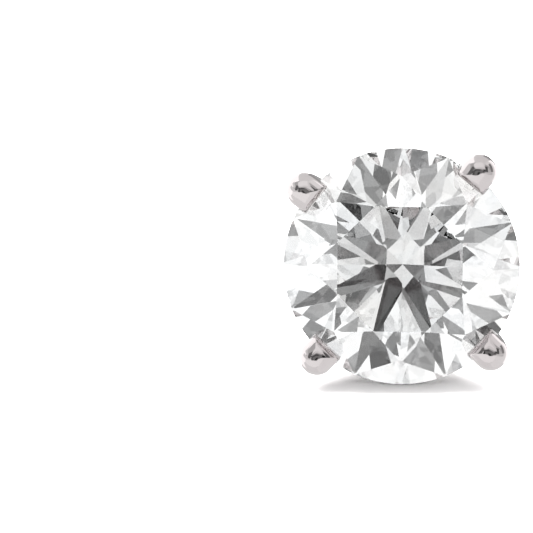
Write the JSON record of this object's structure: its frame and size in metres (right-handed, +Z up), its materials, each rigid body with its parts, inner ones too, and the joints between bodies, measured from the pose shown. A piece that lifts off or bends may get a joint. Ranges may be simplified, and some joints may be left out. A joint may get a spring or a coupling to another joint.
{
  "type": "diamond stud earring",
  "caption": "Stud earring: a round faceted clear stone held by claws over a gallery ring, on a straight notched ear post with a bent-strip friction back.",
  "frame": {"origin": "centre of the bounding box's foot, on the surface that the jewel rests on", "axes": "+Z up; the stone's table looks to -Y and a little up, and the ear post runs to +Y and a little down, as the jewel lies by itself"},
  "size_m": [0.0064, 0.0142, 0.0065],
  "materials": {
    "diamond": "polished facets, clear and near colourless",
    "white_metal": "high polish, rhodium-white precious metal"
  },
  "bodies": {
    "root": {"diamond": "diamond", "claw_setting": "white_metal", "butterfly_back": "white_metal"}
  },
  "joints": []
}
